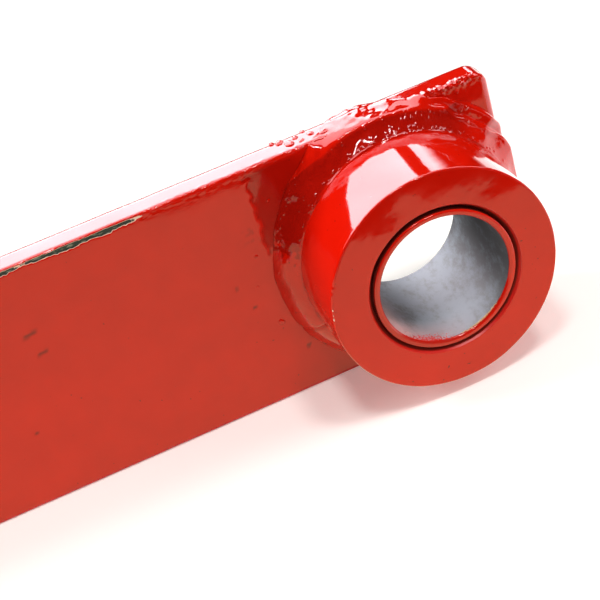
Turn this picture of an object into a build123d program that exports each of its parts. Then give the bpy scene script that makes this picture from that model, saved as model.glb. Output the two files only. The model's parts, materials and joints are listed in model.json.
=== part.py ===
"""Bushed link arm: a flat steel bar with a bushed pivot eye welded on its face at each end.

Millimetres. X runs along the bar, from the far eye to the near eye. Y is the pivot axis, and the eyes stand
out towards -Y. Z is up, across the bar's height. The origin is the middle of the near bush's bore.
"""

from build123d import *
import math
import os

os.makedirs("parts", exist_ok=True)

# ---- driving dimensions ----
EYE_SPACING = 400.0  # near pivot axis to far pivot axis
BAR_HEIGHT = 80.0
BAR_THICKNESS = 10.0
BAR_PAST_AXIS = 37.5  # from a pivot axis to the bar's cut end
BAR_CORNER_RADIUS = 5.0  # ground-off corners, seen from the front
BAR_LONG_EDGE_RADIUS = 1.2  # rolled edges along the bar
BAR_END_EDGE_RADIUS = 3.0  # dressed front edge of the cut end

BOSS_OD = 70.0
BOSS_LENGTH = 33.0  # how far the boss stands out from the bar's front face
BOSS_EDGE = 0.6  # bevel round the boss's front rim

BUSH_BORE = 40.0
BUSH_OD = 44.0
BUSH_LENGTH = 40.0
BUSH_EDGE = 0.5  # bevel on each edge of the bush
LEAD_IN_WIDTH = 1.8  # tapered mouth of the boss's bore, round the bush
LEAD_IN_DEPTH = 2.6

WELD_LEG_ON_BOSS = 8.0
WELD_LEG_ON_BAR = 7.5
WELD_CROWN = 0.5  # how far the weld's face bulges past a flat one
WELD_CRATER_ANGLE = 205.0  # where the two runs meet at a crater, from +X towards +Z
WELD_END_JOINT_ANGLE = -12.0  # where they meet at the bar's end

# ---- worked-out places ----
FRONT_Y = -BUSH_LENGTH / 2  # plane of the boss's and the bush's front face
BAR_FRONT_Y = FRONT_Y + BOSS_LENGTH
BAR_BACK_Y = BAR_FRONT_Y + BAR_THICKNESS
BAR_LENGTH = EYE_SPACING + 2 * BAR_PAST_AXIS
BAR_MIDDLE_X = -EYE_SPACING / 2
BAR_MIDDLE_Y = (BAR_FRONT_Y + BAR_BACK_Y) / 2
BOSS_R = BOSS_OD / 2
BUSH_R = BUSH_OD / 2
BORE_R = BUSH_BORE / 2
PIVOT_AXIS = Axis((0, 0, 0), (0, -1, 0))
MIRROR_PLANE = Plane.YZ.offset(BAR_MIDDLE_X)


def front_plane(y, x=0.0):
    """Plane facing -Y at depth y, its own x along +X, so that extruding by a positive length goes to -Y."""
    return Plane(origin=(x, y, 0), x_dir=(1, 0, 0), z_dir=(0, -1, 0))


def save_both_ends(piece, name):
    """Writes a piece of the near eye, and its mirror image for the far eye."""
    with BuildPart() as twin:
        mirror(piece.part, about=MIRROR_PLANE)
    piece.part.label = f"near_{name}"
    export_step(piece.part, f"parts/near_{name}.step")
    twin.part.label = f"far_{name}"
    export_step(twin.part, f"parts/far_{name}.step")


# ---- the bar, cut square at both ends and bored for the bushes ----
with BuildPart() as arm_bar:
    section_plane = Plane(origin=(BAR_MIDDLE_X, BAR_MIDDLE_Y, 0), x_dir=(0, 1, 0), z_dir=(1, 0, 0))
    with BuildSketch(section_plane):
        RectangleRounded(BAR_THICKNESS, BAR_HEIGHT, BAR_LONG_EDGE_RADIUS)
    extrude(amount=BAR_LENGTH / 2, both=True)
    with BuildSketch(front_plane(BAR_BACK_Y, BAR_MIDDLE_X)):
        RectangleRounded(BAR_LENGTH, BAR_HEIGHT, BAR_CORNER_RADIUS)
    extrude(amount=BAR_THICKNESS, mode=Mode.INTERSECT)
    with BuildSketch(Plane.XY.offset(-BAR_HEIGHT / 2)) as plan:
        with Locations((BAR_MIDDLE_X, BAR_MIDDLE_Y)):
            Rectangle(BAR_LENGTH, BAR_THICKNESS)
        fillet(plan.vertices().group_by(Axis.Y)[0], BAR_END_EDGE_RADIUS)
        fillet(plan.vertices().group_by(Axis.Y)[-1], BAR_LONG_EDGE_RADIUS)
    extrude(amount=BAR_HEIGHT, mode=Mode.INTERSECT)
    with BuildSketch(front_plane(BAR_BACK_Y)):
        with Locations((0, 0), (-EYE_SPACING, 0)):
            Circle(BUSH_R)
    extrude(amount=BAR_THICKNESS, mode=Mode.SUBTRACT)
arm_bar.part.label = "arm_bar"
export_step(arm_bar.part, "parts/arm_bar.step")


# ---- boss: a thick ring standing on the bar's face, its bore opening into a tapered mouth at the front ----
with BuildPart() as boss:
    with BuildSketch(Plane.XY):
        with BuildLine():
            Polyline(
                (BUSH_R, BAR_FRONT_Y),
                (BOSS_R, BAR_FRONT_Y),
                (BOSS_R, FRONT_Y + BOSS_EDGE),
                (BOSS_R - BOSS_EDGE, FRONT_Y),
                (BUSH_R + LEAD_IN_WIDTH, FRONT_Y),
                (BUSH_R, FRONT_Y + LEAD_IN_DEPTH),
                close=True,
            )
        make_face()
    revolve(axis=PIVOT_AXIS)
save_both_ends(boss, "boss")

# ---- bush: a thin sleeve pressed through the boss and into the bar, its edges bevelled inside and out ----
with BuildPart() as bush:
    with BuildSketch(front_plane(FRONT_Y + BUSH_LENGTH)):
        Circle(BUSH_R)
        Circle(BORE_R, mode=Mode.SUBTRACT)
    extrude(amount=BUSH_LENGTH)
    chamfer(bush.edges().filter_by(GeomType.CIRCLE), BUSH_EDGE)
save_both_ends(bush, "bush")


def make_weld_run(name, start, finish):
    """Fillet weld between boss and bar, from one angle round the near boss to another.

    It ends at the bar's outline, fills the space in front of the bar's rounded edges, and meets the bar face
    to face.
    """
    turn = math.radians(start)
    radial_plane = Plane(
        origin=(0, 0, 0),
        x_dir=(math.cos(turn), 0, math.sin(turn)),
        z_dir=(-math.sin(turn), 0, math.cos(turn)),
    )
    toe_on_boss = (BOSS_R, BAR_FRONT_Y - WELD_LEG_ON_BOSS)
    toe_on_bar = (BOSS_R + WELD_LEG_ON_BAR, BAR_FRONT_Y)
    buried_y = BAR_FRONT_Y + BAR_END_EDGE_RADIUS
    crown = (
        (toe_on_boss[0] + toe_on_bar[0]) / 2 + WELD_CROWN,
        (toe_on_boss[1] + toe_on_bar[1]) / 2 - WELD_CROWN,
    )
    with BuildPart() as run:
        with BuildSketch(radial_plane):
            with BuildLine():
                Polyline(toe_on_boss, (BOSS_R, buried_y), (toe_on_bar[0], buried_y), toe_on_bar)
                ThreePointArc(toe_on_bar, crown, toe_on_boss)
            make_face()
        revolve(axis=PIVOT_AXIS, revolution_arc=finish - start)
        with BuildSketch(front_plane(BAR_BACK_Y, BAR_MIDDLE_X)):
            RectangleRounded(BAR_LENGTH, BAR_HEIGHT, BAR_CORNER_RADIUS)
        extrude(amount=BAR_THICKNESS + BOSS_LENGTH, mode=Mode.INTERSECT)
        add(arm_bar.part, mode=Mode.SUBTRACT)
    save_both_ends(run, name)


make_weld_run("weld_upper_run", WELD_END_JOINT_ANGLE, WELD_CRATER_ANGLE)
make_weld_run("weld_lower_run", WELD_CRATER_ANGLE, WELD_END_JOINT_ANGLE + 360)
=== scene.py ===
"""Looks of the bushed link arm: painted bar, bosses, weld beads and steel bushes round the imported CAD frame.

Blender units are metres. Sizes and places here are in millimetres, apart from the lamps', and are scaled by
MM where objects are made. The near eye is at +X, and "outward" is away from the other eye, so that both
eyes share the same code. Angles round an eye run from outward towards +Z.
"""

import json
import math

import bmesh
import bpy
import numpy as np
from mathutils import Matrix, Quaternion, Vector


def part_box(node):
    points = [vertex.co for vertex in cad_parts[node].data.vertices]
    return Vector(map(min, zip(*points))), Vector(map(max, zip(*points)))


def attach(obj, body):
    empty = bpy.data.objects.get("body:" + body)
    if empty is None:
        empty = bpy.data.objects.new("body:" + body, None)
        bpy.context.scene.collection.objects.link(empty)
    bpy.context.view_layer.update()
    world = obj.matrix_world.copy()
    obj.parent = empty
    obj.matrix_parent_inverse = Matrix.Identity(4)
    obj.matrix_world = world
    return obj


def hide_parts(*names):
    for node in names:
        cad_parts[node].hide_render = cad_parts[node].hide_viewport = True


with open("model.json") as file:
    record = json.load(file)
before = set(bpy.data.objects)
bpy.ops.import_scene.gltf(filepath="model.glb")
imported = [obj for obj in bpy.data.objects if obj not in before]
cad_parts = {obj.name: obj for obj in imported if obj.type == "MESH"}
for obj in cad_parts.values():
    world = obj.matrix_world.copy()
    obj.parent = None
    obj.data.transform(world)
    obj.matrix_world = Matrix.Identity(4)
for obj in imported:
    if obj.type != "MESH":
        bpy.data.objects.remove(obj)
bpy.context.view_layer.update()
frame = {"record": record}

MM = 0.001


def box_mm(node):
    """A CAD node's lowest and highest corners, in millimetres."""
    low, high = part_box(node)
    return np.array(low) / MM, np.array(high) / MM


# ---- sizes read from the frame ----
BAR_LOW, BAR_HIGH = box_mm("arm_bar")
BOSS_LOW, BOSS_HIGH = box_mm("near_boss")
BUSH_LOW, BUSH_HIGH = box_mm("near_bush")
FAR_LOW, FAR_HIGH = box_mm("far_boss")
NEAR_X = (BOSS_LOW[0] + BOSS_HIGH[0]) / 2
FAR_X = (FAR_LOW[0] + FAR_HIGH[0]) / 2
BOSS_R = (BOSS_HIGH[0] - BOSS_LOW[0]) / 2
BUSH_R = (BUSH_HIGH[0] - BUSH_LOW[0]) / 2
BORE_R = next(m["dims"]["r_mm"] for m in frame["record"]["mounts"] if m["name"] == "near_bore")
FRONT_Y, BUSH_BACK_Y = BUSH_LOW[1], BUSH_HIGH[1]
BAR_FRONT_Y, BAR_BACK_Y = BAR_LOW[1], BAR_HIGH[1]
HALF_HEIGHT = BAR_HIGH[2]
BAR_PAST_AXIS = BAR_HIGH[0] - NEAR_X
WELD_TOE_Y = box_mm("near_weld_upper_run")[0][1]
EYES = {"near": (NEAR_X, 1), "far": (FAR_X, -1)}

# ---- sizes of the finish, in millimetres ----
CORNER_R = 5.0  # the bar's ground-off corners
LONG_EDGE_R = 1.2  # its rolled long edges at the front, and the back edges of its ends
BACK_EDGE_R = 3.0  # its rolled long edges at the back
END_EDGE_R = 3.0  # the dressed front edge of its ends
BOSS_EDGE_R = 0.6
BUSH_EDGE_R = 0.5
BUSH_LIP_R = 1.1  # the bush's inner front edge
MOUTH_WIDTH = 1.8  # the boss's tapered mouth round the bush
MOUTH_DEPTH = 2.6
HOLE_CHAMFER = 1.0  # on the bar's holes, at the back
BURIED = 0.06  # how far a bead's toes lie under the surface that they meet


# ---- building blocks ----
def spaced(start, stop, step):
    """Evenly spaced values from start to stop, both included, about step apart."""
    return np.linspace(start, stop, max(2, round(abs(stop - start) / step) + 1))


def ease(low, high, value):
    """0 below low, 1 above high, and smooth between; the other way round where low is the larger."""
    t = np.clip((value - low) / (high - low), 0, 1)
    return t * t * (3 - 2 * t)


def bump(value, centre, width):
    """A smooth hill of height 1 at centre."""
    return np.exp(-(((value - centre) / width) ** 2))


def around(turn, centre, width):
    """A smooth hill of height 1 at an angle, all in degrees."""
    return bump((turn - centre + 180) % 360 - 180, 0, width)


def swell(points, wavelength, seed, count=18):
    """A smooth random field of about unit size, with features of about that wavelength."""
    rng = np.random.default_rng(seed)
    directions = rng.normal(size=(count, 3))
    directions /= np.linalg.norm(directions, axis=1, keepdims=True)
    turns = 2 * np.pi / (wavelength * rng.uniform(0.7, 1.4, count))
    phases = rng.uniform(0, 2 * np.pi, count)
    return np.cos(points @ (directions * turns[:, None]).T + phases).sum(-1) / math.sqrt(count / 2)


def uneven(points, wavelength, size, seed):
    """Points moved a little by a smooth random field, as a surface that isn't quite true."""
    return points + size * np.stack([swell(points, wavelength, seed + k) for k in range(3)], -1)


def grid_faces(rows, columns, wrap_rows=False, wrap_columns=False):
    """Quads over a grid of points, row by row."""
    i, j = np.meshgrid(
        np.arange(rows if wrap_rows else rows - 1),
        np.arange(columns if wrap_columns else columns - 1),
        indexing="ij",
    )
    a, b = i.ravel(), j.ravel()
    c, d = (a + 1) % rows, (b + 1) % columns
    return np.stack([a * columns + b, c * columns + b, c * columns + d, a * columns + d], -1).tolist()


def tube_faces(rows, columns):
    """Faces of a closed tube over a grid of points: quads round and along it, and a cap at each end."""
    caps = [list(range(columns)), list(range((rows - 1) * columns, rows * columns))]
    return grid_faces(rows, columns, wrap_columns=True) + caps


def bezier(t, a, b, c, d):
    """Points along a cubic curve."""
    return (1 - t) ** 3 * a + 3 * (1 - t) ** 2 * t * b + 3 * (1 - t) * t**2 * c + t**3 * d


def face_outward(mesh):
    """Turns every face of a closed mesh to look out."""
    shell = bmesh.new()
    shell.from_mesh(mesh)
    bmesh.ops.recalc_face_normals(shell, faces=shell.faces)
    shell.to_mesh(mesh)
    shell.free()


def make_piece(name, points, faces, material, node=None, marks=None):
    """A smooth-shaded closed piece that rides on the arm, with its per-vertex marks for the materials."""
    mesh = bpy.data.meshes.new(name)
    mesh.from_pydata((np.asarray(points).reshape(-1, 3) * MM).tolist(), [], faces)
    for mark, values in (marks or {}).items():
        layer = mesh.attributes.new(mark, "FLOAT", "POINT")
        layer.data.foreach_set("value", np.asarray(values, np.float32).ravel())
    face_outward(mesh)
    mesh.shade_smooth()
    mesh.materials.append(material)
    piece = bpy.data.objects.new(name, mesh)
    bpy.context.scene.collection.objects.link(piece)
    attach(piece, "root")
    if node:
        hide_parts(node)
    return piece


def round_eye(eye, angle, r, y):
    """Points at an angle in radians and a radius round an eye, and at depth y."""
    centre_x, side = EYES[eye]
    return np.stack(np.broadcast_arrays(centre_x + side * r * np.cos(angle), y, r * np.sin(angle)), -1)


def rounded_outline(corners, step, arc_steps=8, support=0.15):
    """A closed outline through corners (u, v, radius), rounded there and evenly divided between."""
    points = []
    for i, (u, v, radius) in enumerate(corners):
        corner = np.array([u, v])
        back = np.array(corners[i - 1][:2]) - corner
        ahead = np.array(corners[(i + 1) % len(corners)][:2]) - corner
        back, ahead = back / np.linalg.norm(back), ahead / np.linalg.norm(ahead)
        half = math.acos(float(np.clip(back @ ahead, -1, 1))) / 2
        inset = radius / math.tan(half)
        centre = corner + (back + ahead) / np.linalg.norm(back + ahead) * radius / math.sin(half)
        first, last = corner + back * inset - centre, corner + ahead * inset - centre
        sweep = math.pi - 2 * half
        start = [corner + back * (inset + support)]
        turn = [
            centre + (math.sin(sweep * (1 - t)) * first + math.sin(sweep * t) * last) / math.sin(sweep)
            for t in np.linspace(0, 1, arc_steps)
        ]
        points.append(start + turn + [corner + ahead * (inset + support)])
    outline = []
    for i, run in enumerate(points):
        outline += run
        following = points[(i + 1) % len(points)][0]
        count = max(1, round(float(np.linalg.norm(following - run[-1])) / step))
        outline += [run[-1] + (following - run[-1]) * k / count for k in range(1, count)]
    return np.array(outline)


# ---- materials ----
class Nodes:
    """Short ways to add shader nodes to a new material."""

    def __init__(self, name):
        self.material = bpy.data.materials.new(name)
        self.material.use_nodes = True
        self.tree = self.material.node_tree
        self.shader = self.tree.nodes["Principled BSDF"]

    def put(self, socket, value):
        if isinstance(value, bpy.types.NodeSocket):
            self.tree.links.new(value, socket)
        else:
            socket.default_value = value

    def add(self, kind, inputs=(), **settings):
        node = self.tree.nodes.new("ShaderNode" + kind)
        for key, value in settings.items():
            setattr(node, key, value)
        for key, value in dict(inputs).items():
            self.put(node.inputs[key], value)
        return node

    def place(self):
        return self.add("TexCoord").outputs["Object"]

    def mark(self, name):
        return self.add("Attribute", attribute_name=name).outputs["Fac"]

    def noise(self, size, detail=2.0, roughness=0.5, stretch=None):
        """Noise from 0 to 1 with features of that size in millimetres, drawn out by stretch."""
        where = self.place()
        if stretch:
            where = self.add("Mapping", {"Vector": where, "Scale": stretch}).outputs["Vector"]
        values = {"Vector": where, "Scale": 1 / (size * MM), "Detail": detail, "Roughness": roughness}
        return self.add("TexNoise", values).outputs["Fac"]

    def math(self, operation, a, b):
        return self.add("Math", {0: a, 1: b}, operation=operation).outputs[0]

    def step(self, value, low, high):
        """0 below low and 1 above high, smooth between."""
        values = {"Value": value, "From Min": low, "From Max": high}
        return self.add("MapRange", values, interpolation_type="SMOOTHSTEP").outputs["Result"]

    def mix(self, factor, a, b):
        node = self.add("Mix", data_type="RGBA")
        for key, value in ((0, factor), (6, a), (7, b)):
            self.put(node.inputs[key], value)
        return node.outputs[2]

    def blend(self, factor, a, b):
        node = self.add("Mix", data_type="FLOAT")
        for key, value in ((0, factor), (2, a), (3, b)):
            self.put(node.inputs[key], value)
        return node.outputs[0]

    def bumps(self, *layers):
        """A normal from layers of (height, distance in millimetres)."""
        normal = None
        for height, distance in layers:
            values = {"Height": height, "Distance": distance * MM, "Strength": 1.0}
            if normal:
                values["Normal"] = normal
            normal = self.add("Bump", values).outputs["Normal"]
        return normal


BLACK = (0, 0, 0, 1)
PAINT_RED = (0.64, 0.0075, 0.0013, 1)
PAINT_DEEP = (0.50, 0.005, 0.001, 1)
GRIME = (0.018, 0.007, 0.004, 1)
BARE_DARK = (0.030, 0.042, 0.034, 1)
BARE_LIGHT = (0.30, 0.34, 0.26, 1)
PRIMER = (0.88, 0.60, 0.44, 1)
# Dark red of real scars, also used as painted shade beside the near boss, along the bar's top back edge and on
# the weld's hollow face.
SCAR_AND_SHADE = (0.20, 0.004, 0.002, 1)
# Painted shade: the darker side of the bush's painted ring.
RING_SHADE = (0.45, 0.008, 0.003, 1)
GROOVE = (0.20, 0.014, 0.007, 1)
# Pink of the overspray haze, also used as a painted sheen in the bore.
SPRAY_AND_SHEEN_PINK = (0.66, 0.36, 0.35, 1)
STEEL_DARK = (0.075, 0.078, 0.080, 1)
STEEL_LIGHT = (0.17, 0.195, 0.22, 1)
RUST_GOLD = (0.62, 0.36, 0.15, 1)


def make_paint():
    """Glossy red enamel: orange peel, nibs and dirt, a darker colour in the groove and at the weld toes, dark
    scars and painted shade, chips to primer and bare metal.
    """
    n = Nodes("red_enamel")
    bare = n.math("ADD", n.mark("bare"), n.math("MULTIPLY", n.noise(0.9, 4), 0.4))
    exposed = n.step(bare, 0.60, 0.66)
    metal = n.step(bare, 0.80, 0.88)
    primed = n.step(n.math("ADD", n.mark("primer"), n.math("MULTIPLY", n.noise(1.0, 2), 1.2)), 1.45, 1.52)
    streaks = n.noise(0.7, 5, 0.6, stretch=(0.3, 1, 1))
    bare_colour = n.mix(n.step(streaks, 0.52, 0.72), BARE_DARK, BARE_LIGHT)
    chipped = n.mix(n.math("MULTIPLY", metal, n.math("SUBTRACT", 1.0, primed)), PRIMER, bare_colour)
    dirt = n.step(n.noise(1.3, 1), 0.76, 0.80)
    film = n.mix(n.noise(14, 3), PAINT_DEEP, PAINT_RED)
    film = n.mix(n.math("MULTIPLY", dirt, 0.75), film, GRIME)
    # Darker groove colour where this mark is high: deep in the boss's mouth, on the bush's outside by its
    # front, and along the weld's toes.
    seam_darkening = n.step(n.math("ADD", n.mark("seam_darkening"), n.math("MULTIPLY", n.noise(1.1, 3), 0.4)), 0.55, 1.0)
    film = n.mix(seam_darkening, film, GROOVE)
    # Real scars and painted shade: this mark darkens both the marks on the bar and the places where shade is
    # painted.
    film = n.mix(n.mark("scars_and_shade"), film, SCAR_AND_SHADE)
    n.put(n.shader.inputs["Base Color"], n.mix(exposed, film, chipped))
    satin = n.blend(seam_darkening, n.blend(n.noise(9, 3), 0.04, 0.09), 0.5)
    satin = n.blend(n.mark("matt"), satin, 0.38)
    n.put(n.shader.inputs["Roughness"], n.blend(exposed, satin, 0.42))
    n.put(n.shader.inputs["Metallic"], n.math("MULTIPLY", metal, 0.5))
    n.put(n.shader.inputs["IOR"], 1.46)
    peel = (n.noise(2.4, 2), 0.010)
    flow = (n.noise(8, 2), 0.05)
    nibs = (n.step(n.noise(0.7, 1), 0.78, 0.84), 0.03)
    film_edge = (exposed, -0.12)
    n.put(n.shader.inputs["Normal"], n.bumps(flow, peel, nibs, film_edge))
    return n.material


def make_steel():
    """Mottled satin bush steel, painted over at the front ring, with overspray and a worn lip, plus painted
    shade, sheen and light.
    """
    n = Nodes("bush_satin_steel")
    cloud = n.noise(4, 8, 0.72, stretch=(1, 0.6, 1))
    # Painted light and shade: the bore's lightness is set by angle, on top of random clouding.
    light = n.math("ADD", n.mark("bore_light_and_shade"), n.math("MULTIPLY", n.math("SUBTRACT", cloud, 0.5), 3.5))
    steel = n.mix(n.step(light, 0.0, 1.0), STEEL_DARK, STEEL_LIGHT)
    stain = n.step(n.noise(2.2, 2), 0.74, 0.80)
    steel = n.mix(n.math("MAXIMUM", n.math("MULTIPLY", stain, 0.5), n.mark("scars_and_shade")), steel, GRIME)
    painted = n.step(n.math("ADD", n.mark("painted"), n.math("MULTIPLY", n.noise(0.8, 3), 0.3)), 0.62, 0.70)
    speck = n.math("ADD", n.math("MULTIPLY", n.mark("overspray"), 0.55), n.noise(0.55, 2, 0.6))
    spray = n.step(speck, 0.90, 0.97)
    # Overspray haze and painted sheen: this lightens the bore toward pink.
    haze_and_sheen = n.math("MULTIPLY", n.mark("haze_and_sheen"), n.math("ADD", n.noise(1.5, 4, 0.7), 0.35))
    worn = n.step(n.math("ADD", n.mark("worn"), n.noise(0.55, 3, 0.75)), 1.20, 1.30)
    # Darker groove colour on the bush's outside, just behind its front.
    seam_darkening = n.step(n.math("ADD", n.mark("seam_darkening"), n.math("MULTIPLY", n.noise(1.1, 3), 0.4)), 0.55, 1.0)
    colour = n.mix(haze_and_sheen, steel, SPRAY_AND_SHEEN_PINK)
    coat = n.math("MAXIMUM", painted, spray)
    # Painted shade: the ring's paint is darker on the side toward the other eye and below.
    ring = n.mix(n.mark("ring_shade"), PAINT_RED, RING_SHADE)
    colour = n.mix(coat, colour, ring)
    colour = n.mix(worn, colour, RUST_GOLD)
    n.put(n.shader.inputs["Base Color"], n.mix(seam_darkening, colour, GROOVE))
    clean = n.math("MULTIPLY", n.math("SUBTRACT", 1.0, coat), n.math("SUBTRACT", 1.0, seam_darkening))
    n.put(n.shader.inputs["Metallic"], n.math("MULTIPLY", clean, 0.15))
    n.put(n.shader.inputs["Roughness"], n.blend(coat, n.blend(cloud, 0.5, 0.62), n.blend(worn, 0.10, 0.4)))
    turning = (n.noise(0.5, 2, stretch=(0.1, 1, 0.1)), 0.006)
    grain = (n.noise(0.3, 2), 0.006)
    n.put(n.shader.inputs["Normal"], n.bumps(turning, grain, (spray, 0.06), (worn, 0.10)))
    return n.material


PAINT = make_paint()
STEEL = make_steel()


# ---- camera ----
CAMERA_AZIMUTH, CAMERA_ELEVATION, CAMERA_ROLL = -10.868, 32.828, -17.317  # degrees
CAMERA_DISTANCE = 484.36  # from its target, which is at the near eye's front, to its left and a little up
CAMERA_LEFT, CAMERA_UP = 42.29, 13.47
CAMERA_LENS = 104.8


def make_camera():
    """Above the near eye and a little to its left, rolled so that the bar climbs to the right."""
    azimuth, elevation = math.radians(CAMERA_AZIMUTH), math.radians(CAMERA_ELEVATION)
    back = Vector((
        math.sin(azimuth) * math.cos(elevation),
        -math.cos(azimuth) * math.cos(elevation),
        math.sin(elevation),
    ))
    target = Vector((NEAR_X - CAMERA_LEFT, FRONT_Y, CAMERA_UP)) * MM
    data = bpy.data.cameras.new("camera")
    data.lens = CAMERA_LENS
    data.clip_start = 0.01
    camera = bpy.data.objects.new("camera", data)
    camera.location = target + back * CAMERA_DISTANCE * MM
    camera.rotation_mode = "QUATERNION"
    turned = Quaternion((0, 0, 1), math.radians(CAMERA_ROLL))
    camera.rotation_quaternion = (-back).to_track_quat("-Z", "Y") @ turned
    bpy.context.scene.collection.objects.link(camera)
    bpy.context.scene.camera = camera


# ---- the bar ----
SCRAPE_START, SCRAPE_END = NEAR_X - 69.3, NEAR_X - 136.0
SCRAPE_LOW, SCRAPE_HIGH = HALF_HEIGHT - 2.1, HALF_HEIGHT - 0.6
CHIPPED_X = NEAR_X - 108.0  # where the scrape's borders are broken into chips
# Marks on the bar's front, from the near eye: (x, z, half length, half width, tilt in degrees).
SCARS = [(-113.8, 17.2, 2.6, 0.7, 12), (-112.4, 10.0, 2.2, 0.6, 14), (-123.1, -14.7, 0.7, 0.6, 0),
         (-37.4, -24.6, 0.9, 0.7, 30), (-49.5, -4.5, 0.7, 0.6, 0), (-53.0, 4.0, 0.6, 0.5, 0)]
# Painted shade: how dark the ragged patch beside the near boss is painted, where the bar's face lies in shade.
SHADE_PATCH_DEPTH = 0.55  # of the ragged dark patch beside the near boss
SLAG_START = 13.0  # from here to the near end, the top front edge is rough with slag


def flat_side(y, z):
    """A run of points (y, z) where either may be one number."""
    return np.stack(np.broadcast_arrays(y, z), -1)


def quarter_turn(y, z, radius, start):
    """A rounded edge's points round (y, z), from start degrees to 90 degrees less."""
    turn = np.radians(start - np.linspace(0, 90, 8))
    return flat_side(y + radius * np.cos(turn), z + radius * np.sin(turn))


def bar_section():
    """The bar's outline across its length, as (y, z), finest near its top front edge."""
    front_y, front_z = BAR_FRONT_Y + LONG_EDGE_R, HALF_HEIGHT - LONG_EDGE_R
    back_y, back_z = BAR_BACK_Y - BACK_EDGE_R, HALF_HEIGHT - BACK_EDGE_R
    scraped = front_z - 4
    front = np.concatenate([spaced(-front_z, scraped, 0.8), spaced(scraped, front_z, 0.22)[1:]])
    thick = spaced(front_y, back_y, 0.6)[1:-1]
    return np.concatenate([
        flat_side(BAR_FRONT_Y, front),
        quarter_turn(front_y, front_z, LONG_EDGE_R, 180)[1:],
        flat_side(thick, HALF_HEIGHT),
        quarter_turn(back_y, back_z, BACK_EDGE_R, 90),
        flat_side(BAR_BACK_Y, spaced(back_z, -back_z, 3.0))[1:],
        quarter_turn(back_y, -back_z, BACK_EDGE_R, 0)[1:],
        flat_side(thick[::-1], -HALF_HEIGHT),
        quarter_turn(front_y, -front_z, LONG_EDGE_R, -90)[:-1],
    ])


def end_distances():
    """Distances from a bar end at which its rounded end needs sections."""
    turn = np.linspace(0, math.pi / 2, 9)
    steps = np.concatenate([r * (1 - np.cos(turn)) for r in (CORNER_R, END_EDGE_R, LONG_EDGE_R)])
    return np.unique(np.round(np.concatenate([steps, spaced(2.0, CORNER_R + 0.4, 0.4)]), 3))


def rounding(distance, radius):
    """How far a rounded edge has drawn in at a distance from the end, from radius at 0 to nothing."""
    inside = np.clip(radius - distance, 0, radius)
    return radius - np.sqrt(radius**2 - inside**2)


def scrape_depth(points):
    """Depth of the long scrape under the near top front edge, ragged along both its sides."""
    x, z = points[..., 0], points[..., 2]
    along = ease(SCRAPE_START, SCRAPE_START - 12, x) * ease(SCRAPE_END, SCRAPE_END + 12, x)
    ragged = 0.15 * swell(points, 6, 11) + 0.13 * swell(points, 1.6, 12)
    low = SCRAPE_LOW + 0.8 * (1 - along) + 0.7 * bump(x, CHIPPED_X, 7) + ragged
    across = ease(low - 0.5, low + 0.6, z) * ease(SCRAPE_HIGH + 0.35, SCRAPE_HIGH - 0.1, z + 0.5 * ragged)
    on_front = ease(BAR_FRONT_Y + 0.5, BAR_FRONT_Y, points[..., 1])
    inside = (x < SCRAPE_START) & (x > SCRAPE_END)
    return np.where(inside, across * on_front * np.sqrt(along), 0)


def scars_and_shade_mark(points):
    """1 on the dark marks on the bar's front, less on the painted shade beside the near boss and along its top
    back edge, and 0 elsewhere.
    """
    mark = np.zeros(points.shape[:-1])
    for x, z, long, wide, tilt in SCARS:
        along, across = points[..., 0] - NEAR_X - x, points[..., 2] - z
        cos, sin = math.cos(math.radians(tilt)), math.sin(math.radians(tilt))
        reach = np.hypot((along * cos + across * sin) / long, (across * cos - along * sin) / wide)
        mark = np.maximum(mark, ease(1.25, 0.6, reach))
    x, y, z = points[..., 0] - NEAR_X, points[..., 1], points[..., 2]
    # Painted shade: a ragged dark patch on the bar's front beside the near boss, above its centre, on the side
    # toward the other eye.
    ragged = 0.5 * swell(points, 5, 62) + 0.4 * swell(points, 1.8, 63)
    above = ease(13, 15, z + 2 * ragged + 0.5 * (x + 41))
    painted_shade_patch = ease(-41.2, -40.0, x + ragged) * above * ease(-20, -28, x)
    painted_shade_patch = np.maximum(painted_shade_patch, ease(0.5, 0.9, ragged) * bump(np.hypot(x + 42.5, z - 19), 0, 3.5))
    mark = np.maximum(mark, SHADE_PATCH_DEPTH * painted_shade_patch * ease(HALF_HEIGHT - 1, HALF_HEIGHT - 2.5, z))
    # Painted shade: a dark line along the bar's top back edge.
    painted_edge_shade = ease(BAR_BACK_Y - 2.2, BAR_BACK_Y - 1.7, y) * ease(HALF_HEIGHT - 2.2, HALF_HEIGHT - 1.6, z)
    return np.maximum(mark * (y < BAR_FRONT_Y + 0.5), 0.8 * painted_edge_shade)


def slag_height(points):
    """Height of the frozen slag along the near end's top front edge, and of the burr that leads up to it."""
    x, y, z = points[..., 0] - NEAR_X, points[..., 1], points[..., 2]
    from_edge = np.hypot(np.maximum(y - BAR_FRONT_Y, 0), np.maximum(HALF_HEIGHT - z, 0))
    near = bump(from_edge, 0.8, 1.1) * ease(SLAG_START, SLAG_START + 3, x) * ease(36, 31, x)
    burr = bump(from_edge, 0.6, 0.9) * ease(-80, -70, x) * ease(36, 31, x) * (y < BAR_FRONT_Y + 4)
    lumps = swell(points, 1.5, 61)
    return near * (0.25 + 0.45 * np.clip(lumps, -0.5, 1.5)) + 0.13 * burr * np.clip(lumps, -0.5, 1.5)


def bar_stations():
    """Places along the bar for its sections, closest together at its ends, the scrape and the slag."""
    ends = end_distances()
    start, stop = BAR_LOW[0], BAR_HIGH[0]
    scrape_from, scrape_to, slag_from = SCRAPE_END - 4, SCRAPE_START + 4, NEAR_X + SLAG_START - 1
    return np.concatenate([
        start + ends,
        spaced(start + ends[-1], scrape_from, 3.2)[1:],
        spaced(scrape_from, scrape_to, 0.45)[1:],
        spaced(scrape_to, slag_from, 0.55)[1:],
        spaced(slag_from, stop - ends[-1], 0.4)[1:-1],
        stop - ends[::-1],
    ])


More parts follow.
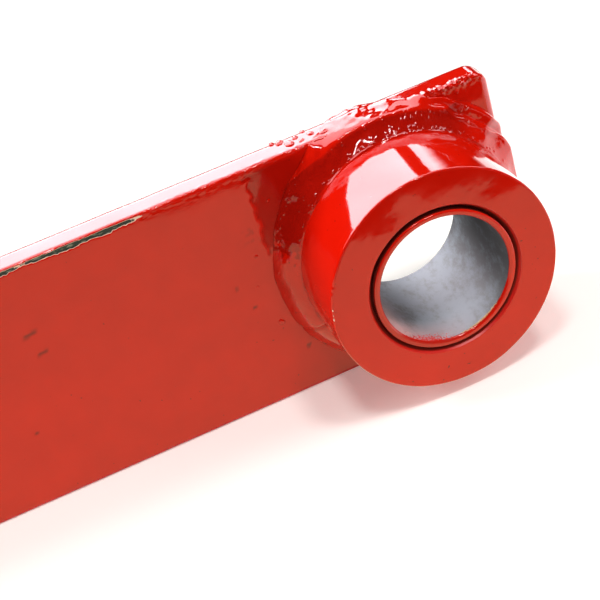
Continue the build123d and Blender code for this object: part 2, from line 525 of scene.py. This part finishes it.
def make_bar():
    """The flat bar, lofted from end to end, scraped along its top front edge and bored for both bushes."""
    stations, section = bar_stations(), bar_section()
    distance = np.minimum(stations - BAR_LOW[0], BAR_HIGH[0] - stations)[:, None]
    shrink = (HALF_HEIGHT - rounding(distance, CORNER_R)) / HALF_HEIGHT
    front = BAR_FRONT_Y + rounding(distance, END_EDGE_R)
    back = BAR_BACK_Y - rounding(distance, LONG_EDGE_R)
    through = (section[None, :, 0] - BAR_FRONT_Y) / (BAR_BACK_Y - BAR_FRONT_Y)
    points = np.stack(np.broadcast_arrays(
        stations[:, None], front + through * (back - front), section[None, :, 1] * shrink), -1)
    depth = scrape_depth(points)
    scars_and_shade = scars_and_shade_mark(points)
    slag = slag_height(points)
    primer = 0.85 * bump(points[..., 0], CHIPPED_X, 6) + 0.5 * bump(points[..., 0], SCRAPE_START - 3, 4)
    points = uneven(points, 16, 0.02, 21)
    points[..., 1] += 0.4 * depth + 0.15 * scars_and_shade - 0.7 * slag
    points[..., 2] += 0.7 * slag - 0.1 * depth
    marks = {"bare": depth, "seam_darkening": np.zeros_like(depth), "scars_and_shade": scars_and_shade, "primer": primer * (depth > 0.1)}
    faces = tube_faces(*points.shape[:2])
    bar = make_piece("painted_bar", points, faces, PAINT, "arm_bar", marks)
    for eye in EYES:
        bore_bar(bar, eye)


def bore_bar(bar, eye):
    """Cuts the hole for one eye's bush through the bar, with its back edge chamfered."""
    turn = np.linspace(0, 2 * np.pi, 180, endpoint=False)[:, None]
    depths = np.array([[BAR_FRONT_Y - 5, BAR_BACK_Y - HOLE_CHAMFER, BAR_BACK_Y + 5]])
    radii = BUSH_R + np.maximum(depths - depths[0, 1], 0)
    rings = round_eye(eye, turn, radii, depths) * MM
    rows, columns = rings.shape[:2]
    caps = [list(range(first, rows * columns, columns)) for first in (0, columns - 1)]
    tool = bpy.data.meshes.new("drill")
    tool.from_pydata(rings.reshape(-1, 3).tolist(), [], grid_faces(rows, columns, wrap_rows=True) + caps)
    face_outward(tool)
    drill = bpy.data.objects.new("drill", tool)
    bpy.context.scene.collection.objects.link(drill)
    cut = bar.modifiers.new("hole", "BOOLEAN")
    cut.operation = "DIFFERENCE"
    cut.solver = "EXACT"
    cut.object = drill
    result = bpy.data.meshes.new_from_object(bar.evaluated_get(bpy.context.evaluated_depsgraph_get()))
    bar.modifiers.clear()
    bar.data = result
    bpy.data.objects.remove(drill)
    result.shade_smooth()
    result.set_sharp_from_angle(angle=math.radians(40))


# ---- bosses ----
# Knocks along each boss's rim as (angle in degrees, size), and runs in its paint as (angle, y from, y to).
CHIPS = {
    "near": [(158, 0.6), (161, 0.5), (171, 0.7), (173.5, 0.8), (176, 0.7), (178, 0.6), (166, 0.4),
             (131, 0.4)],
    "far": [(40, 0.9), (205, 0.7), (300, 1.1)],
}
DRIPS = {"near": [(196, -17, -9), (193, -17, -12)], "far": [(60, -15, -8)]}


def make_boss(eye, seed):
    """A thick ring on the bar's face: rounded and knocked rim, tapered mouth, runs in the paint."""
    section = rounded_outline([
        (BUSH_R, BAR_FRONT_Y, 0.05),
        (BUSH_R, FRONT_Y + MOUTH_DEPTH, 0.3),
        (BUSH_R + MOUTH_WIDTH, FRONT_Y, 0.3),
        (BOSS_R, FRONT_Y, BOSS_EDGE_R),
        (BOSS_R, BAR_FRONT_Y, 0.05),
    ], 1.1)
    angle = np.linspace(0, 2 * np.pi, 540, endpoint=False)[:, None]
    r, y = section[None, :, 0], section[None, :, 1]
    rim = np.hypot(r - BOSS_R, y - FRONT_Y)
    bare = np.zeros((len(angle), len(section)))
    for chip_angle, chip_size in CHIPS[eye]:
        along = (angle - math.radians(chip_angle)) * BOSS_R
        bare = np.maximum(bare, bump(np.hypot(along / 1.6, rim * np.ones_like(along)), 0, chip_size))
    side = ease(BOSS_R - 0.4, BOSS_R, r)
    lift = np.zeros_like(bare)
    for drip_angle, top, bottom in DRIPS[eye]:
        along = (angle - math.radians(drip_angle)) * BOSS_R
        length = ease(top - 1.5, top, y) * ease(bottom + 1, bottom, y)
        lift = lift + 0.3 * bump(along, 0, 0.7) * length * side
    r = r - 0.2 * bare + lift
    y = y + 0.2 * bare
    points = uneven(round_eye(eye, angle, r, y), 15, 0.03, 21 + seed)
    mouth = (section[:, 0] < BUSH_R + MOUTH_WIDTH + 0.05) & (section[:, 1] < FRONT_Y + MOUTH_DEPTH + 4)
    # Darker deep in the mouth, from just behind the boss's front face.
    seam_darkening = np.broadcast_to(mouth * ease(FRONT_Y + 0.1, FRONT_Y + 1.2, section[:, 1]), bare.shape)
    faces = grid_faces(*bare.shape, wrap_rows=True, wrap_columns=True)
    make_piece(f"{eye}_painted_boss", points, faces, PAINT, f"{eye}_boss",
               {"bare": 0.5 * bare, "seam_darkening": seam_darkening, "matt": np.broadcast_to(mouth, bare.shape)})


# ---- bushes ----
def make_bush(eye):
    """A steel sleeve with a narrow wall, painted over at its front ring, with overspray just inside, a worn
    lip, and painted light, shade and sheen.
    """
    section = rounded_outline([
        (BORE_R, BUSH_BACK_Y, BUSH_EDGE_R),
        (BORE_R, FRONT_Y, BUSH_LIP_R),
        (BUSH_R, FRONT_Y, BUSH_EDGE_R),
        (BUSH_R, BUSH_BACK_Y, BUSH_EDGE_R),
    ], 0.5)
    angle = np.linspace(0, 2 * np.pi, 360, endpoint=False)[:, None]
    r, y = section[None, :, 0], section[None, :, 1]
    depth = y - FRONT_Y
    points = uneven(round_eye(eye, angle, r, y), 15, 0.015, 31)
    turn = np.degrees(angle)
    inside = ease(1.2, 0.4, r - BORE_R)
    painted = np.broadcast_to(ease(1.1, 0.5, depth), points.shape[:2])
    overspray = around(turn, 242, 34) * ease(10, 0.5, depth) * inside
    # Overspray haze and painted sheen: pink lightening in the bore, low on the side toward the other eye, near
    # its front and deeper in.
    haze_and_sheen = 0.6 * around(turn, 240, 30) * ease(14, 2, depth) + around(turn, 213, 17) * ease(36, 14, depth)
    worn = 0.9 * around(turn, 292, 45) * bump(depth, 0.9, 0.7) * inside
    # Painted shade: the ring's front is darker on the side toward the other eye and below, less inside the
    # lip.
    ring_shade = around(turn, 215, 80) * (1 - inside * ease(0.4, 0.8, depth))
    # Painted light and shade: the bore is lighter low down and darker on its outward side.
    bore_light_and_shade = (0.38 + 0.45 * around(turn, 268, 48) - 0.35 * around(turn, 10, 45)) * np.ones_like(depth)
    dark_spot = bump(np.hypot(((turn - 52 + 180) % 360 - 180) * math.radians(BORE_R), depth - 22), 0, 1.0)
    # Darker on the bush's outside, just behind its front, down in the groove.
    seam_darkening = np.broadcast_to((r > BUSH_R - 0.05) * ease(0.2, 0.7, depth), points.shape[:2])
    faces = grid_faces(*points.shape[:2], wrap_rows=True, wrap_columns=True)
    make_piece(f"{eye}_steel_bush", points, faces, STEEL, f"{eye}_bush",
               {"painted": painted, "overspray": overspray, "haze_and_sheen": haze_and_sheen * inside, "worn": worn,
                "ring_shade": ring_shade, "bore_light_and_shade": bore_light_and_shade, "scars_and_shade": dark_spot * inside, "seam_darkening": seam_darkening})


# ---- weld beads ----
RUNS = {"upper": (-14, 207), "lower": (203, 350)}  # the angles where each run starts and stops
# The lap's crest: how far out from the boss and ahead of the bar, its place in s, how hollow its face is.
CREST_OUT, CREST_AHEAD, CREST_AT, HOLLOW = 6.1, 3.0, 0.46, 0.35
END_CREST = 1.2  # how far the crest may stand out past the bar's end
SHELF = (52, 60, 116, 136)  # the crest comes up over the first two angles and fades out over the last two
# How far the bead reaches over the bar from the boss, along the bar's surface and over its edges, by angle.
REACH = {
    0: 4.6, 15: 5.8, 30: 8.2, 40: 9.2, 50: 8.8, 58: 7.6, 65: 7.4, 70: 8.4, 76: 10.5, 83: 12.5,
    90: 14.5, 100: 15.0, 108: 13.5, 114: 10.0, 120: 8.0, 128: 7.2, 138: 6.9, 150: 6.4, 165: 6.1,
    190: 6.1, 205: 7.2, 220: 7.2, 240: 7.4, 255: 9.5, 270: 12.0, 285: 10.0, 300: 8.0, 320: 8.6, 340: 7.6,
}


def smooth_reach(turn, seed):
    """The bead's reach at each angle in degrees, smoothed between the values above, and never quite even."""
    every = np.arange(0, 360, 1.0)
    values = np.interp(every, list(REACH), list(REACH.values()), period=360)
    weights = bump(np.arange(-12, 13), 0, 4)
    padded = np.concatenate([values[-12:], values, values[:12]])
    values = np.convolve(padded, weights / weights.sum(), "valid")
    rng = np.random.default_rng(seed)
    for waves in (5, 9, 17, 31):
        values += 0.35 / math.sqrt(waves) * np.sin(np.radians(every * waves) + rng.uniform(0, 6.28))
    return np.interp(turn % 360, every, values, period=360)


def bead_toe(turn, reach):
    """The bead's end on the bar as (r, y), how far it laps over the edge, and the bar end's distance."""
    cos, sin = np.cos(np.radians(turn)), np.sin(np.radians(turn))
    to_side = HALF_HEIGHT / np.maximum(np.abs(sin), 0.01)
    to_end = np.where(cos > 0, BAR_PAST_AXIS / np.maximum(cos, 0.01), 1e3)
    edge_r = np.where(to_end < to_side, END_EDGE_R, LONG_EDGE_R)
    flat = np.minimum(to_side, to_end) - BOSS_R - edge_r
    over = np.clip((reach - flat) / edge_r, 0, math.pi / 2)
    toe = np.stack([
        BOSS_R + np.minimum(reach, flat) + edge_r * np.sin(over),
        BAR_FRONT_Y + edge_r * (1 - np.cos(over)) + np.maximum(reach - flat - edge_r * math.pi / 2, 0),
    ], -1)
    wrapped = ease(0, math.pi / 2, over)
    shelf = np.minimum(np.maximum(wrapped, ease(*SHELF[:2], turn)), ease(SHELF[3], SHELF[2], turn))
    return toe, np.where(turn < 180, shelf, wrapped), to_end


def bead_face(turn, s, reach):
    """The bead's face as (r, y), from the boss (s 0) to the bar (s 1), the way out from it, and its lap."""
    toe, lap, to_end = bead_toe(turn, reach)
    lap = lap[..., None]
    s = s[..., None]
    start = np.stack(np.broadcast_arrays(BOSS_R + 0 * toe[..., 0], WELD_TOE_Y), -1)
    chord = toe - start
    length = np.linalg.norm(chord, axis=-1, keepdims=True)
    full = (ease(150, 175, turn) * ease(240, 215, turn))[..., None]
    steep = np.arctan2(chord[..., :1], chord[..., 1:]) + np.radians(5 + 22 * full)
    lean = np.radians(50 + 22 * full)
    leave = np.concatenate([np.sin(steep), np.cos(steep)], -1)
    arrive = -np.concatenate([np.cos(lean), np.sin(lean)], -1)
    plain = bezier(s, start, start + leave * length * 0.4, toe + arrive * length * 0.4, toe)
    crest_r = np.minimum(BOSS_R + CREST_OUT, to_end + END_CREST)
    crest = np.stack(np.broadcast_arrays(crest_r, BAR_FRONT_Y - CREST_AHEAD), -1)
    inward = np.array([-1, 1]) * HOLLOW
    hollow = bezier(s / CREST_AT, start, start + (crest - start) / 3 + inward,
                    start + (crest - start) * 2 / 3 + inward, crest)
    roof = bezier((s - CREST_AT) / (1 - CREST_AT), crest, crest + (toe - crest) * 0.35 + [0.35, 0],
                  toe + (crest - toe) * 0.04 + [1.0, 0], toe)
    lapped = np.where(s < CREST_AT, hollow, roof)
    curve = plain + (lapped - plain) * lap
    for _ in range(3):
        curve[:, 1:-1] = (curve[:, :-2] + 2 * curve[:, 1:-1] + curve[:, 2:]) / 4
    slope = np.gradient(curve, axis=1)
    slope /= np.linalg.norm(slope, axis=-1, keepdims=True)
    return curve, np.stack([slope[..., 1], -slope[..., 0]], -1), lap[..., 0]


def bead_relief(turn, s, lap, points, seed):
    """Height of the specks, cracks, second bead and lumps over the plain face of the bead."""
    rough = ease(165, 135, turn) * ease(15, 60, turn) + 0.25
    edges = bump(s, 0.10, 0.07) + bump(s, CREST_AT - 0.07, 0.05) + (1 - lap) * bump(s, 0.8, 0.1)
    specks = np.clip(swell(points, 1.3, seed + 2) - 0.9, 0, 2) * edges
    on_face = ease(0.04, 0.10, s) * ease(CREST_AT, CREST_AT - 0.08, s)
    grainy = np.clip(0.5 + swell(points, 0.9, seed + 6), 0, 1.6)
    bent = turn - 7 * np.abs(2 * s / CREST_AT - 0.9)
    cracks = (bump(bent, 72, 0.6) + bump(bent, 84, 0.6)) * on_face * grainy
    row = 0.5 + 0.5 * np.cos(2 * np.pi * turn / 2.4)
    beads = bump(s, 0.30, 0.04) * row * ease(63, 66, turn) * ease(81, 78, turn)
    cap = ease(16, 30, turn) * ease(68, 56, turn)
    second_bead = 1.0 * bump(s, 0.84, 0.10) + 0.5 * bump(s, 0.46, 0.07) - 0.6 * bump(s, 0.63, 0.07)
    lens = np.clip(1 - np.hypot((turn - 98.5) / 7.5, (s - 0.84 - 0.004 * (turn - 98.5)) / 0.07), 0, 1)
    lip = bump(s, 0.035, 0.022)
    return (
        0.22 * rough * specks
        + 0.18 * cracks
        + 0.30 * beads
        + cap * second_bead
        - 0.8 * np.minimum(lens, 0.25)
        + 0.12 * lip * ease(30, 45, turn) * ease(150, 110, turn)
        + (0.04 + 0.12 * rough) * swell(points, 9, seed + 3)
        + 0.035 * rough * swell(points, 3.2, seed + 4)
    )


def make_weld(eye, run, seed):
    """One run of fillet weld round an eye, lapping over the bar's edges where it reaches past them."""
    ends = RUNS[run]
    turn = spaced(ends[0], ends[1], 0.36)[:, None]
    u = np.linspace(0, 1, 60)[None, :]
    s = u - 0.08 * np.sin(2 * np.pi * u)
    reach = smooth_reach(turn, seed)
    curve, outward, lap = bead_face(turn, s, reach)
    points = round_eye(eye, np.radians(turn), curve[..., 0], curve[..., 1])
    height = bead_relief(turn, s, lap, points, seed) * ease(0, 0.05, s) * ease(1, 0.95, s)
    height -= BURIED * (1 - ease(0, 0.03, s) * ease(1, 0.97, s))
    curve = curve + outward * height[..., None]
    inside_toe = curve[:, -1:] - outward[:, -1:] * 0.6
    root = np.array([BOSS_R - 0.6, BAR_FRONT_Y + 0.6])
    back = np.stack([np.broadcast_to(root, (len(turn), 2)),
                     np.broadcast_to([BOSS_R - 0.6, WELD_TOE_Y + 0.3], (len(turn), 2))], 1)
    section = np.concatenate([curve, inside_toe, back], 1)
    close = np.minimum(turn - ends[0], ends[1] - turn)
    taper = 0.88 + 0.12 * ease(0, 4, close)
    corner = np.array([BOSS_R, BAR_FRONT_Y])
    section = corner + (section - corner) * taper[..., None]
    points = round_eye(eye, np.radians(turn), section[..., 0], section[..., 1])
    toes, shade = np.zeros(points.shape[:2]), np.zeros(points.shape[:2])
    # Painted shade: the hollow face of the lapped bead is darkened in its colour, standing in for shade in the
    # fillet.
    face_end = (CREST_AT - 0.02) * lap + 1.05 * (1 - lap)
    ragged = 3 * swell(points[:, :s.shape[1]], 3, seed + 8)
    shade[:, :s.shape[1]] = (0.6 * ease(0.0, 0.08, s) * ease(face_end, face_end - 0.06, s)
                             * ease(165, 161, turn + ragged) * ease(40, 58, turn))
    # Darker along both toes of the bead where it doesn't lap over an edge.
    toes[:, :s.shape[1]] = 0.5 * (bump(s, 0, 0.09) + bump(s, 1, 0.09)) * (1 - lap)
    make_piece(f"{eye}_weld_bead_{run}", points, tube_faces(*toes.shape), PAINT,
               f"{eye}_weld_{run}_run", {"bare": np.zeros_like(toes), "seam_darkening": toes, "scars_and_shade": shade})


# Drops of spatter by each eye, as (outward, y or z, radius), on the bar's top face and on its front.
# Most of the places on the top edge were printed by a measuring script that worked back from the photograph.
TOP_DROPS = [(-14, 16.0, 0.9), (-21, 16.3, 0.8), (-22, 19.2, 0.7), (-19, 21.0, 0.6), (-26.7, 19.9, 0.9),
             (-28.8, 21.0, 0.6), (-24.5, 17.2, 1.1), (-17.5, 18.2, 0.8), (6.5, 18.0, 0.6), (11.0, 17.2, 0.5)]
FRONT_DROPS = [(-43.2, -12.9, 0.8), (-36.2, 27.8, 0.4), (-44.5, 12.0, 0.4), (-47.0, 2.0, 0.3),
               (26.8, 37.0, 0.5)]


def make_spatter(eye, seed):
    """Frozen drops of weld metal under the paint, each a lumpy dome sunk a little into the bar."""
    rng = np.random.default_rng(seed)
    centre_x, side = EYES[eye]
    up = np.linspace(-math.pi / 2, math.pi / 2, 11)[1:-1, None]
    turn = np.linspace(0, 2 * np.pi, 18, endpoint=False)[None, :]
    points, faces = [], []
    for x, second, radius in TOP_DROPS + FRONT_DROPS:
        on_top = (x, second, radius) in TOP_DROPS
        radius *= rng.uniform(1.0, 1.4)
        wide = radius * np.cos(up) * (1 + 0.35 * np.cos(turn - rng.uniform(0, 6.28)) ** 2)
        high = 0.45 * radius * np.sin(up) + 0 * turn
        a, b = wide * np.cos(turn), wide * np.sin(turn)
        base = np.array([centre_x + side * x, 0, 0])
        if on_top:
            drop = base + np.stack([a, second + b, HALF_HEIGHT + high], -1)
        else:
            drop = base + np.stack([a, BAR_FRONT_Y - high, second + b], -1)
        drop = uneven(drop, 1.2, 0.06, seed + 7)
        first = sum(len(p) for p in points)
        faces += [[first + k for k in face] for face in tube_faces(*drop.shape[:2])]
        points.append(drop.reshape(-1, 3))
    make_piece(f"{eye}_weld_spatter", np.concatenate(points), faces, PAINT)


# ---- floor, cards and lights ----
CARD_DISTANCE = 900  # of the upright cards behind the arm, and of the card overhead
CARD_WHITE = (1, 0.93, 0.99, 1)
FLOOR_Z = -HALF_HEIGHT
FAR_AWAY = 4000
# The near edge of the dark front sheet, ragged because its mirror image shows on the bar and the boss's face.
# Some of its points were printed by a measuring script that worked back from the photograph.
DARK_EDGE = [(-62, -126), (-48, -125.6), (-36, -120.3), (-27, -123.6), (-14, -130), (3, -117), (14, -124),
             (25, -130), (37, -129), (48, -123), (60, -114), (300, -108)]


def stage_sheet(name, corners, colour, glow, seen_by, matt=BLACK):
    """A flat sheet of the studio, with a glow over a matt colour. seen_by says which rays meet it."""
    mesh = bpy.data.meshes.new(name)
    mesh.from_pydata([tuple(c * MM for c in corner) for corner in corners], [], [list(range(len(corners)))])
    n = Nodes(name)
    n.put(n.shader.inputs["Base Color"], matt)
    n.put(n.shader.inputs["Roughness"], 0.9)
    n.put(n.shader.inputs["Specular IOR Level"], 0.0)
    n.put(n.shader.inputs["Emission Color"], colour)
    n.put(n.shader.inputs["Emission Strength"], glow)
    mesh.materials.append(n.material)
    sheet = bpy.data.objects.new(name, mesh)
    bpy.context.scene.collection.objects.link(sheet)
    for ray in ("camera", "diffuse", "glossy", "transmission", "shadow"):
        setattr(sheet, f"visible_{ray}", ray in seen_by)
    return sheet


def card_offset(angle):
    """How far to the side, or up, a line at that angle in degrees meets an upright card."""
    return CARD_DISTANCE * math.tan(math.radians(angle))


def upright_card(name, left, right, low, high, glow, fade_from=None):
    """A bright card behind the arm between two bearings and two heights in degrees, seen in reflections.

    Its light fades out towards the right from the bearing fade_from, if there is one.
    """
    x = [NEAR_X + card_offset(left), NEAR_X + card_offset(right)]
    z = [card_offset(low), card_offset(high)]
    corners = [(x[i], CARD_DISTANCE, z[j]) for i, j in ((0, 0), (1, 0), (1, 1), (0, 1))]
    card = stage_sheet(name, corners, CARD_WHITE, glow, ("glossy",))
    if fade_from is not None:
        n = Nodes(name + "_fading")
        across = n.add("SeparateXYZ", {"Vector": n.place()}).outputs["X"]
        fading = n.step(across, x[1] * MM, (NEAR_X + card_offset(fade_from)) * MM)
        n.put(n.shader.inputs["Base Color"], BLACK)
        n.put(n.shader.inputs["Specular IOR Level"], 0.0)
        n.put(n.shader.inputs["Emission Color"], CARD_WHITE)
        n.put(n.shader.inputs["Emission Strength"], n.math("MULTIPLY", fading, glow))
        card.data.materials[0] = n.material


def floor_sheet(name, outline, lift, colour=BLACK, glow=0.0, seen_by=("glossy", "diffuse")):
    """A sheet lying that far above the floor, which the camera doesn't see."""
    stage_sheet(name, [(x, y, FLOOR_Z + lift) for x, y in outline], colour, glow, seen_by)


def make_floor():
    """A white floor, and over it sheets that reflections see brighter or darker than it is, as painted
    reflections; the dark ones also take the floor's bounce light off the arm, as painted shade.
    """
    corners = [(-FAR_AWAY, -FAR_AWAY), (FAR_AWAY, -FAR_AWAY), (FAR_AWAY, FAR_AWAY), (-FAR_AWAY, FAR_AWAY)]
    stage_sheet("floor", [(x, y, FLOOR_Z) for x, y in corners], (1, 0.93, 0.88, 1), 0.2,
                ("camera", "diffuse", "glossy", "transmission", "shadow"), (0.93, 0.90, 0.86, 1))
    floor_sheet("floor_glow_right", [(75, -60), (600, -300), (900, 900), (540, 900), (88, 98)], 0.5,
                (1, 0.95, 0.93, 1), 2.6, ("glossy",))
    floor_sheet("floor_glow_front", [(-900, -600), (300, -600), (300, 12), (-900, 12)], 0.3,
                (1, 0.93, 0.58, 1), 1.25, ("glossy",))
    floor_sheet("dark_back", [(-1500, 24), (40, 24), (480, 880), (-1500, 880)], 0.4)
    floor_sheet("dark_front", [(300, -600), (-62, -600)] + DARK_EDGE, 0.6)
    # Painted shade: a black sheet met only by diffuse rays, which takes the floor's bounce light off the arm
    # from the front left.
    floor_sheet("dark_front_left", [(-12, -600), (-900, -600), (-900, -110), (3, -117)], 0.6,
                seen_by=("diffuse",))


def make_cards():
    """Bright cards behind the arm and over it, which only reflections see."""
    upright_card("back_card_left", -55, 16.5, 12, 48, 10)
    upright_card("back_card_right", 23.5, 31.5, 12, 30, 8, 26.5)
    overhead = [(-900, 0, CARD_DISTANCE), (1800, 0, CARD_DISTANCE), (1800, 900, CARD_DISTANCE),
                (-900, 900, CARD_DISTANCE)]
    stage_sheet("overhead_card", overhead, (1, 0.93, 0.97, 1), 5.5, ("glossy",))


def area_light(name, place, size, power, mirrored=False):
    """A round lamp at a place in metres, aimed at the origin. Reflections show it only if it is mirrored."""
    data = bpy.data.lights.new(name, "AREA")
    data.shape = "DISK"
    data.size = size
    data.energy = power
    light = bpy.data.objects.new(name, data)
    light.location = place
    light.rotation_euler = (-Vector(place)).to_track_quat("-Z", "Y").to_euler()
    light.visible_glossy = mirrored
    light.visible_camera = False
    bpy.context.scene.collection.objects.link(light)


def make_lights():
    """Two keys over the arm's front, two soft fills, and a dim even sky that reflections don't see."""
    area_light("key_left", (-0.12, -0.46, 1.2), 0.22, 4.9, True)
    area_light("key_right", (0.26, -0.44, 1.2), 0.22, 4.9, True)
    area_light("fill_back_left", (-0.95, 0.42, 0.75), 0.6, 16)
    area_light("fill_right", (1.0, -0.36, 0.56), 0.8, 4.5)
    world = bpy.data.worlds.new("studio")
    world.use_nodes = True
    sky = world.node_tree.nodes["Background"]
    sky.inputs["Color"].default_value = (1, 1, 1, 1)
    sky.inputs["Strength"].default_value = 0.30
    bpy.context.scene.world = world
    world.cycles_visibility.glossy = False
    bpy.context.scene.view_settings.view_transform = "Standard"


make_camera()
make_floor()
make_cards()
make_lights()
make_bar()
for k, eye in enumerate(EYES):
    make_boss(eye, 5 * k)
for eye in EYES:
    make_bush(eye)
for k, eye in enumerate(EYES):
    make_weld(eye, "upper", 40 + 20 * k)
    make_weld(eye, "lower", 50 + 20 * k)
    make_spatter(eye, 80 + 20 * k)
